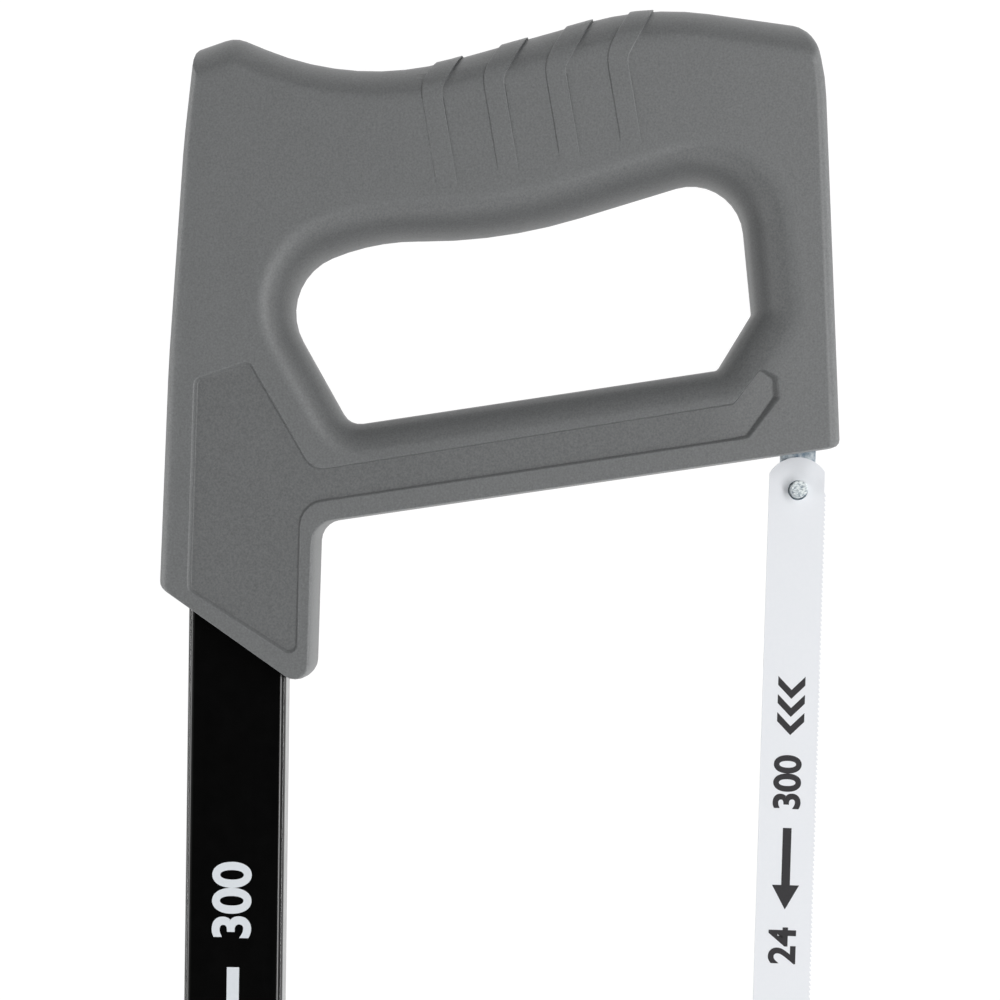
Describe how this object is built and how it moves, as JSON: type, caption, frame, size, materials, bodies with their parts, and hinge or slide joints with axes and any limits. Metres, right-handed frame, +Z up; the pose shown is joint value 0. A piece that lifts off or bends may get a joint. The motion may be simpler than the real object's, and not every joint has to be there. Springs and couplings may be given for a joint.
{
  "type": "hacksaw",
  "caption": "Hacksaw with a closed cast handle, a rectangular frame tube, a toothed blade on leaning pins and a wing knob that tensions it.",
  "frame": {"origin": "centre of the saw's box, on the plane that it lies on", "axes": "+X forward along the blade from the handle to the tension knob, +Y the way the teeth face, +Z up through the saw's flat side"},
  "size_m": [0.4522, 0.1548, 0.0278],
  "materials": {
    "cast_handle": "textured grey powder coat on cast aluminium",
    "tube_black": "gloss",
    "blade_enamel": "gloss enamel",
    "zinc": "bright zinc plate",
    "knob_plastic": "fine texture"
  },
  "bodies": {
    "frame": {"handle_front_shell": "cast_handle", "handle_back_shell": "cast_handle", "handle_screw_1": "zinc", "handle_screw_2": "zinc", "handle_screw_3": "zinc", "handle_screw_4": "zinc", "handle_screw_5": "zinc", "handle_screw_6": "zinc", "frame_tube": "tube_black", "nose": "cast_handle", "nose_pin_rear": "zinc", "nose_pin_front": "zinc", "rear_blade_holder": "zinc", "rear_blade_pin": "zinc", "thrust_washer": "zinc"},
    "knob": {"tension_knob": "knob_plastic", "knob_nut": "zinc"},
    "front_bar": {"front_blade_holder": "zinc", "front_blade_pin": "zinc"},
    "blade": {"blade": "blade_enamel"}
  },
  "joints": [
    {"name": "tension_knob_spin", "type": "hinge", "parent": "frame", "child": "knob", "pos_m": [0.21422, 0.06139, 0.0139], "axis": [1, 0, 0], "range_deg": [0, 1080]},
    {"name": "front_bar_slide", "type": "slide", "parent": "frame", "child": "front_bar", "axis": [1, 0, 0], "range_m": [-0.003, 0]},
    {"name": "blade_unhook", "type": "hinge", "parent": "front_bar", "child": "blade", "pos_m": [0.18588, 0.06139, 0.01358], "axis": [0, 1, 0], "range_deg": [0, 6]}
  ],
  "couplings": [
    {"joint": "tension_knob_spin", "follows": "front_bar_slide", "rad_per_m": -6283.2},
    {"joint": "blade_unhook", "follows": "front_bar_slide", "rad_per_m": -34.907}
  ]
}
